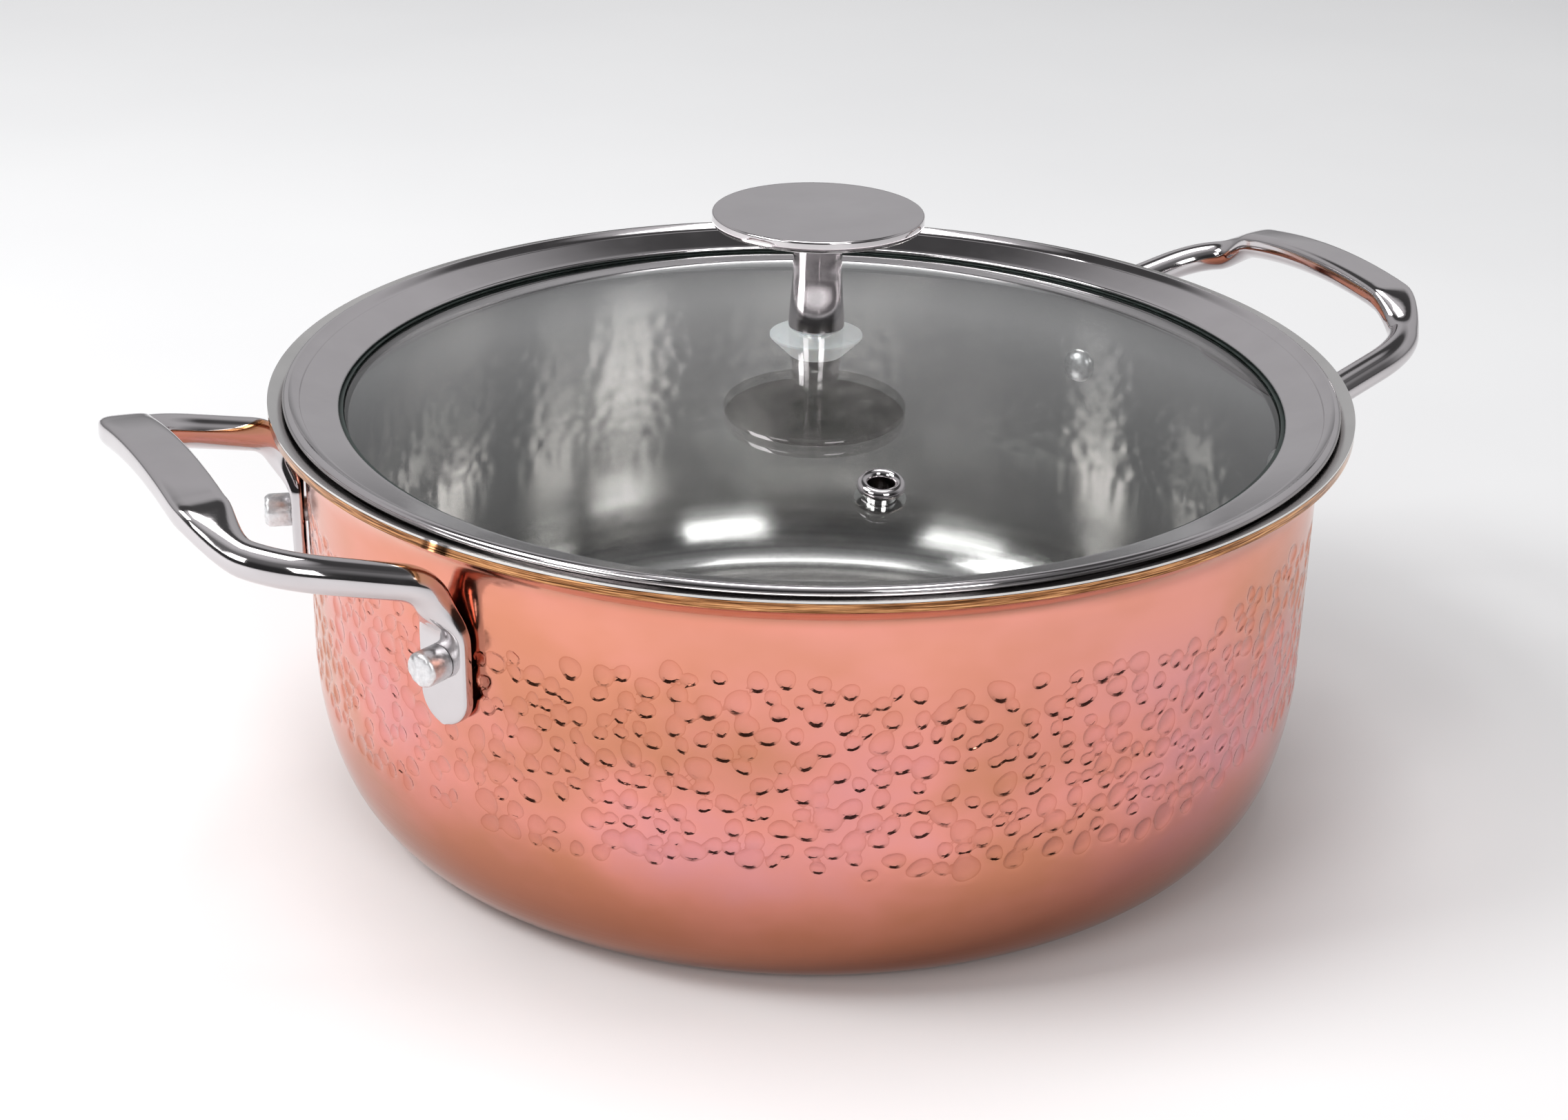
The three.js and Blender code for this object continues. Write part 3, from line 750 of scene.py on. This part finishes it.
def pale_floor():
    finish = Finish("pale_floor", (0.86, 0.86, 0.865), roughness=0.6)
    grain = finish.noise(finish.stretched((1, 1, 1)), 3, 3)
    finish.colour(finish.ramp(grain, (0.3, (0.87, 0.87, 0.875)), (0.7, (0.9, 0.9, 0.902))))
    finish.gloss(finish.spread(grain, 0.3, 0.7, 0.55, 0.65))
    return finish.material


# ---- Assembly ----
copper = hammered_copper()
satin = satin_steel()
polished = polished_steel()
aluminium = peened_aluminium()

finished("copper_wall", copper_shape(), "pot", copper, ["copper_shell"], 50)
finished("inner_lining", lining_shape(), "pot", satin, ["steel_lining"])
for side, turn in (("right", 0), ("left", math.pi)):
    rod = handle_shape(turn)
    finished(f"rod_handle_{side}", rod, "pot", polished, [f"handle_{side}"], 55)
RIVETS = {
    "right_front": -RIVET_HALF_ANGLE,
    "right_back": RIVET_HALF_ANGLE,
    "left_back": math.pi - RIVET_HALF_ANGLE,
    "left_front": math.pi + RIVET_HALF_ANGLE,
}
for place, angle in RIVETS.items():
    rivet = rivet_shape(angle)
    finished(f"peened_{place}", rivet, "pot", aluminium, [f"rivet_{place}"])

finished("glass_dome", glass_shape(), "lid", clear_glass(), ["lid_glass"])
finished("edge_seal", seal_shape(), "lid", dark_rubber(), ["lid_seal"])
finished("rolled_band", band_shape(), "lid", polished, ["lid_band"])
finished("eyelet", eyelet_shape(), "lid", polished, ["vent_eyelet"])
finished("eyelet_washer", vent_washer_shape(), "lid", satin, ["vent_washer"])
finished("knob_plate", disc_shape(), "lid", polished, ["knob_disc"])
finished("knob_pillar", stem_shape(), "lid", polished, ["knob_stem"])
silicone = milky_silicone()
finished("cone_washer", cone_washer_shape(), "lid", silicone, ["knob_cone_washer"])
for node in ("knob_screw_washer", "knob_screw"):
    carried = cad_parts[node]
    carried.data.materials.clear()
    carried.data.materials.append(satin)


# ---- Floor, light and camera ----
def lay_floor():
    shape = bmesh.new()
    bmesh.ops.create_grid(shape, x_segments=8, y_segments=8, size=FLOOR_HALF)
    mesh = bpy.data.meshes.new("floor")
    shape.to_mesh(mesh)
    shape.free()
    mesh.materials.append(pale_floor())
    floor = bpy.data.objects.new("floor", mesh)
    floor.location.z = -FLOOR_DROP
    bpy.context.scene.collection.objects.link(floor)


def softbox(name, around, distance, height, width, tall, power):
    """A rectangular light, placed by degrees round the pot from the camera's line."""
    light = bpy.data.lights.new(name, "AREA")
    light.shape = "RECTANGLE"
    light.size = width
    light.size_y = tall
    light.energy = power
    lamp = bpy.data.objects.new(name, light)
    turn = VIEW_TURN + math.radians(around)
    lamp.location = (distance * math.sin(turn), -distance * math.cos(turn), height)
    towards = Vector((0, 0, LIGHTS_AIM)) - lamp.location
    lamp.rotation_euler = towards.to_track_quat("-Z", "Y").to_euler()
    bpy.context.scene.collection.objects.link(lamp)


def set_world():
    """A grey wall behind the pot under a dark ceiling, a dark room in front, and light overhead."""
    world = bpy.data.worlds.new("studio")
    world.use_nodes = True
    nodes, links = world.node_tree.nodes, world.node_tree.links
    place = nodes.new("ShaderNodeTexCoord")
    facing = nodes.new("ShaderNodeMapping")
    facing.inputs["Rotation"].default_value = (0, 0, -VIEW_TURN)
    links.new(place.outputs["Generated"], facing.inputs["Vector"])
    apart = nodes.new("ShaderNodeSeparateXYZ")
    links.new(facing.outputs["Vector"], apart.inputs[0])

    def upwards(*tones):
        ramp = nodes.new("ShaderNodeValToRGB")
        while len(ramp.color_ramp.elements) < len(tones):
            ramp.color_ramp.elements.new(0.5)
        for element, (at, tone) in zip(ramp.color_ramp.elements, tones):
            element.position = at
            element.color = (tone, tone, tone * 1.02, 1)
        links.new(apart.outputs["Z"], ramp.inputs["Fac"])
        return ramp.outputs["Color"]

    behind = nodes.new("ShaderNodeMapRange")
    behind.interpolation_type = "SMOOTHSTEP"
    behind.inputs["From Min"].default_value = -0.5
    behind.inputs["From Max"].default_value = 0.2
    links.new(apart.outputs["Y"], behind.inputs["Value"])
    both = nodes.new("ShaderNodeMix")
    both.data_type = "RGBA"
    links.new(behind.outputs["Result"], both.inputs["Factor"])
    dark_room = upwards((0, 0.03), (0.42, 0.04), (0.6, 0.15), (0.78, 0.2), (0.94, 0.7))
    grey_wall = upwards(
        (0, 0.25), (0.2, 0.5), (0.6, 0.56), (0.69, 0.4), (0.75, 0.08), (0.88, 0.06), (0.94, 0.7),
    )
    links.new(dark_room, both.inputs["A"])
    links.new(grey_wall, both.inputs["B"])
    links.new(both.outputs["Result"], nodes["Background"].inputs["Color"])
    bpy.context.scene.world = world


def set_camera():
    """A 58.6 mm lens, 316 mm above the base and 585 mm from the axis, looking down 24 degrees."""
    camera = bpy.data.cameras.new("camera")
    camera.lens = 58.58
    camera.sensor_width = 36
    camera.shift_x = -0.0645
    camera.clip_start = 0.01
    holder = bpy.data.objects.new("camera", camera)
    away = 0.5851
    place = Vector((away * math.sin(VIEW_TURN), -away * math.cos(VIEW_TURN), 0.3158))
    heading = Matrix.Rotation(VIEW_TURN - 0.0316, 4, "Z")
    pitch = Matrix.Rotation(math.pi / 2 - 0.4214, 4, "X")
    roll = Matrix.Rotation(0.0331, 4, "Z")
    holder.matrix_world = Matrix.Translation(place) @ heading @ pitch @ roll
    bpy.context.scene.collection.objects.link(holder)
    bpy.context.scene.camera = holder


lay_floor()
set_world()
set_camera()
softbox("key_left", -75, 1.0, 1.1, 0.6, 0.6, 12)
softbox("overhead", 180, 0.3, 2.2, 1.0, 1.0, 15)
softbox("front_left", -44, 1.9, 1.0, 0.75, 0.8, 8)
softbox("front_right", 25, 1.9, 1.0, 0.75, 0.8, 11)

bpy.context.scene.view_settings.view_transform = "Standard"
